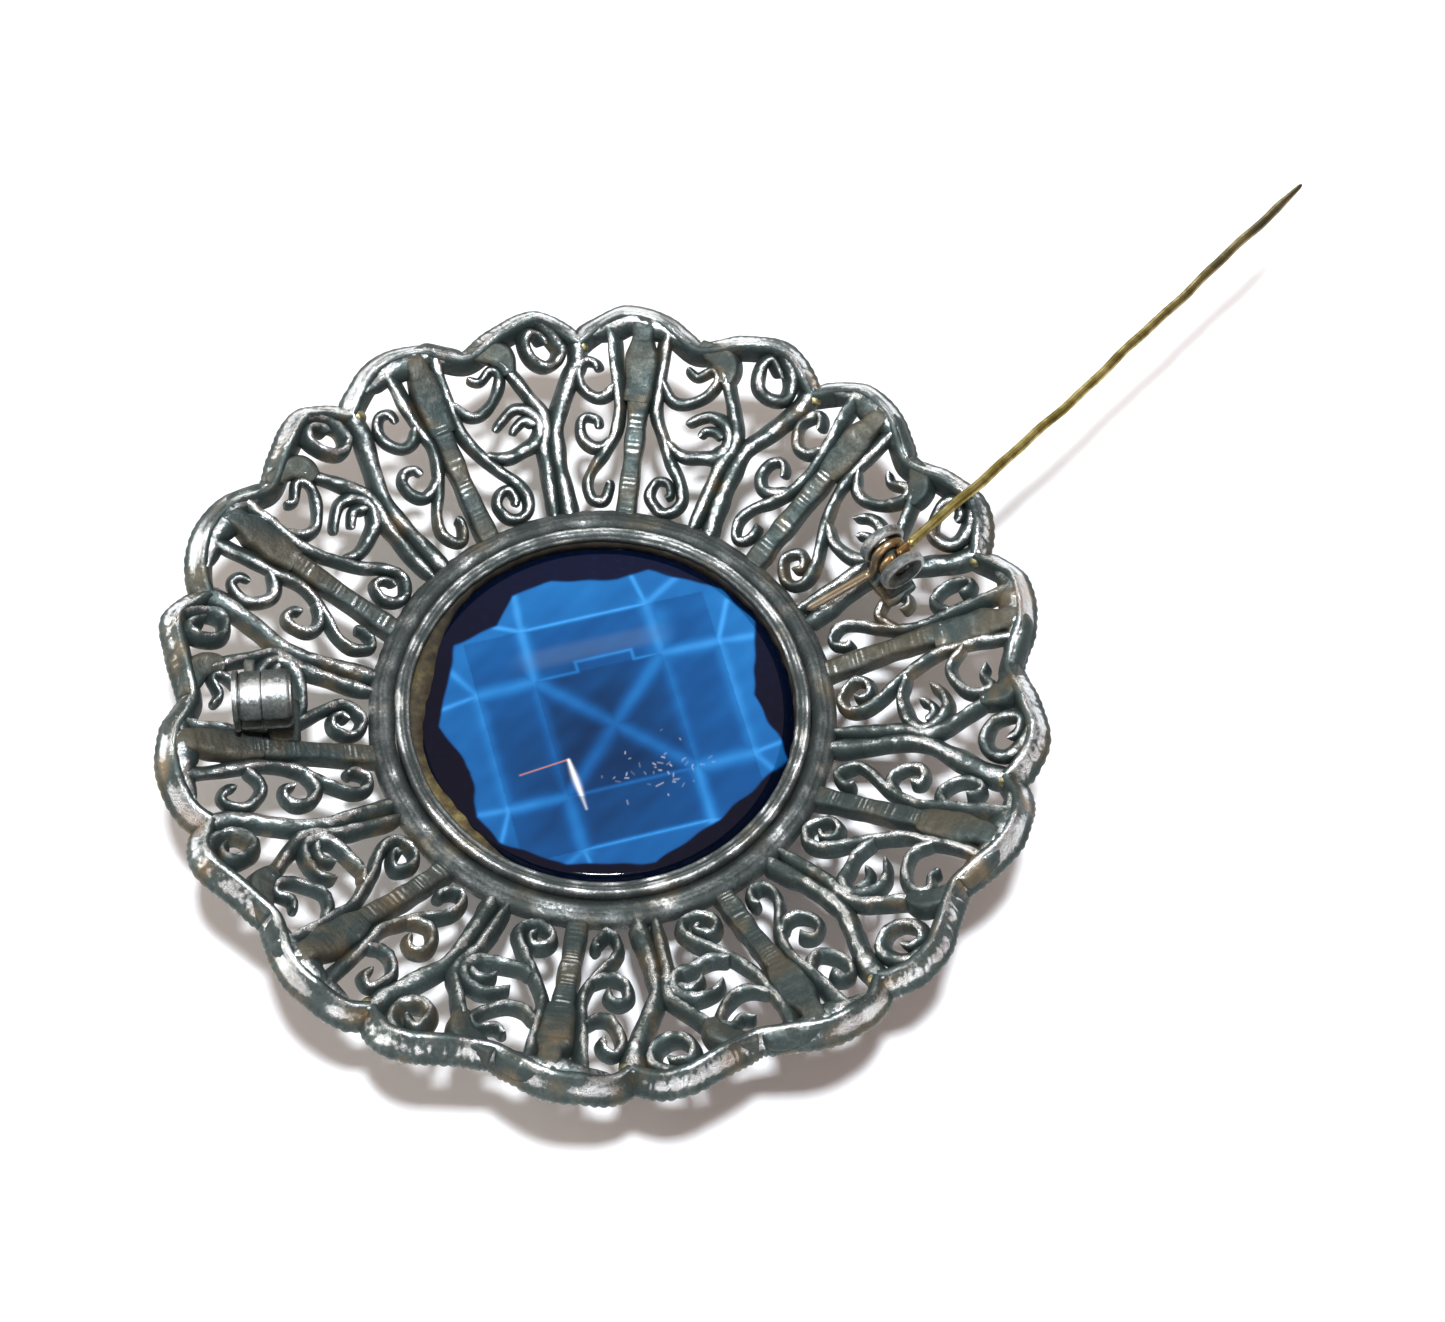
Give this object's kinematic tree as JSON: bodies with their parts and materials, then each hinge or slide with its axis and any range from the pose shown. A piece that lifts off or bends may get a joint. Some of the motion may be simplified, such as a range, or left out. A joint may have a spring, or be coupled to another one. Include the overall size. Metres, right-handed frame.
{
  "type": "brooch",
  "caption": "Round openwork brooch with a large faceted blue stone, seen from its back, with a hinged pin and a roll-over safety catch.",
  "frame": {"origin": "centre of the stone's front table, which is the face the brooch lies on", "axes": "+Z from the front of the brooch to its back, towards the pin; +X towards the hinge side and -X towards the catch; +Y square to both"},
  "size_m": [0.084, 0.0822, 0.0145],
  "materials": {
    "oxidised_cast": "dark oxidised cast metal",
    "worn_cast": "worn oxidised silver colour",
    "gold_solder": "dull gold solder",
    "copper_wire": "tarnished copper colour",
    "brass_wire": "tarnished drawn brass",
    "blue_glass": "polished dark blue glass",
    "old_cement": "aged cement"
  },
  "bodies": {
    "brooch": {"petal_01": "oxidised_cast", "petal_02": "oxidised_cast", "petal_03": "oxidised_cast", "petal_04": "oxidised_cast", "petal_05": "oxidised_cast", "petal_06": "oxidised_cast", "petal_07": "oxidised_cast", "petal_08": "oxidised_cast", "petal_09": "oxidised_cast", "petal_10": "oxidised_cast", "solder_beads": "gold_solder", "collar": "worn_cast", "bezel_cup": "worn_cast", "cement_bead": "old_cement", "stone": "blue_glass", "hinge_pad": "oxidised_cast", "hinge_ear_near": "worn_cast", "hinge_ear_far": "worn_cast", "hinge_rivet": "worn_cast", "pin_spring_tail": "copper_wire", "catch_pad": "oxidised_cast", "catch_hook": "worn_cast", "catch_end_ring": "worn_cast"},
    "pin_swing": {"pin_coil": "copper_wire"},
    "pin_flex": {"pin_stem": "brass_wire"},
    "sleeve": {"catch_sleeve": "worn_cast"}
  },
  "joints": [
    {"name": "pin_swing", "type": "hinge", "parent": "brooch", "child": "pin_swing", "pos_m": [0.02015, 0.01178, 0.012], "axis": [0.6101, -0.7923, 0], "range_deg": [0, 178.3]},
    {"name": "pin_side_flex", "type": "hinge", "parent": "pin_swing", "child": "pin_flex", "pos_m": [0.02124, 0.01229, 0.01303], "axis": [0, 0, 1], "range_deg": [0, 4], "stiffness_Nm_per_rad": 0.01},
    {"name": "sleeve_roll", "type": "hinge", "parent": "brooch", "child": "sleeve", "pos_m": [-0.024, -0.00493, 0.0123], "axis": [0.9848, 0.1736, 0], "range_deg": [0, 100]}
  ]
}
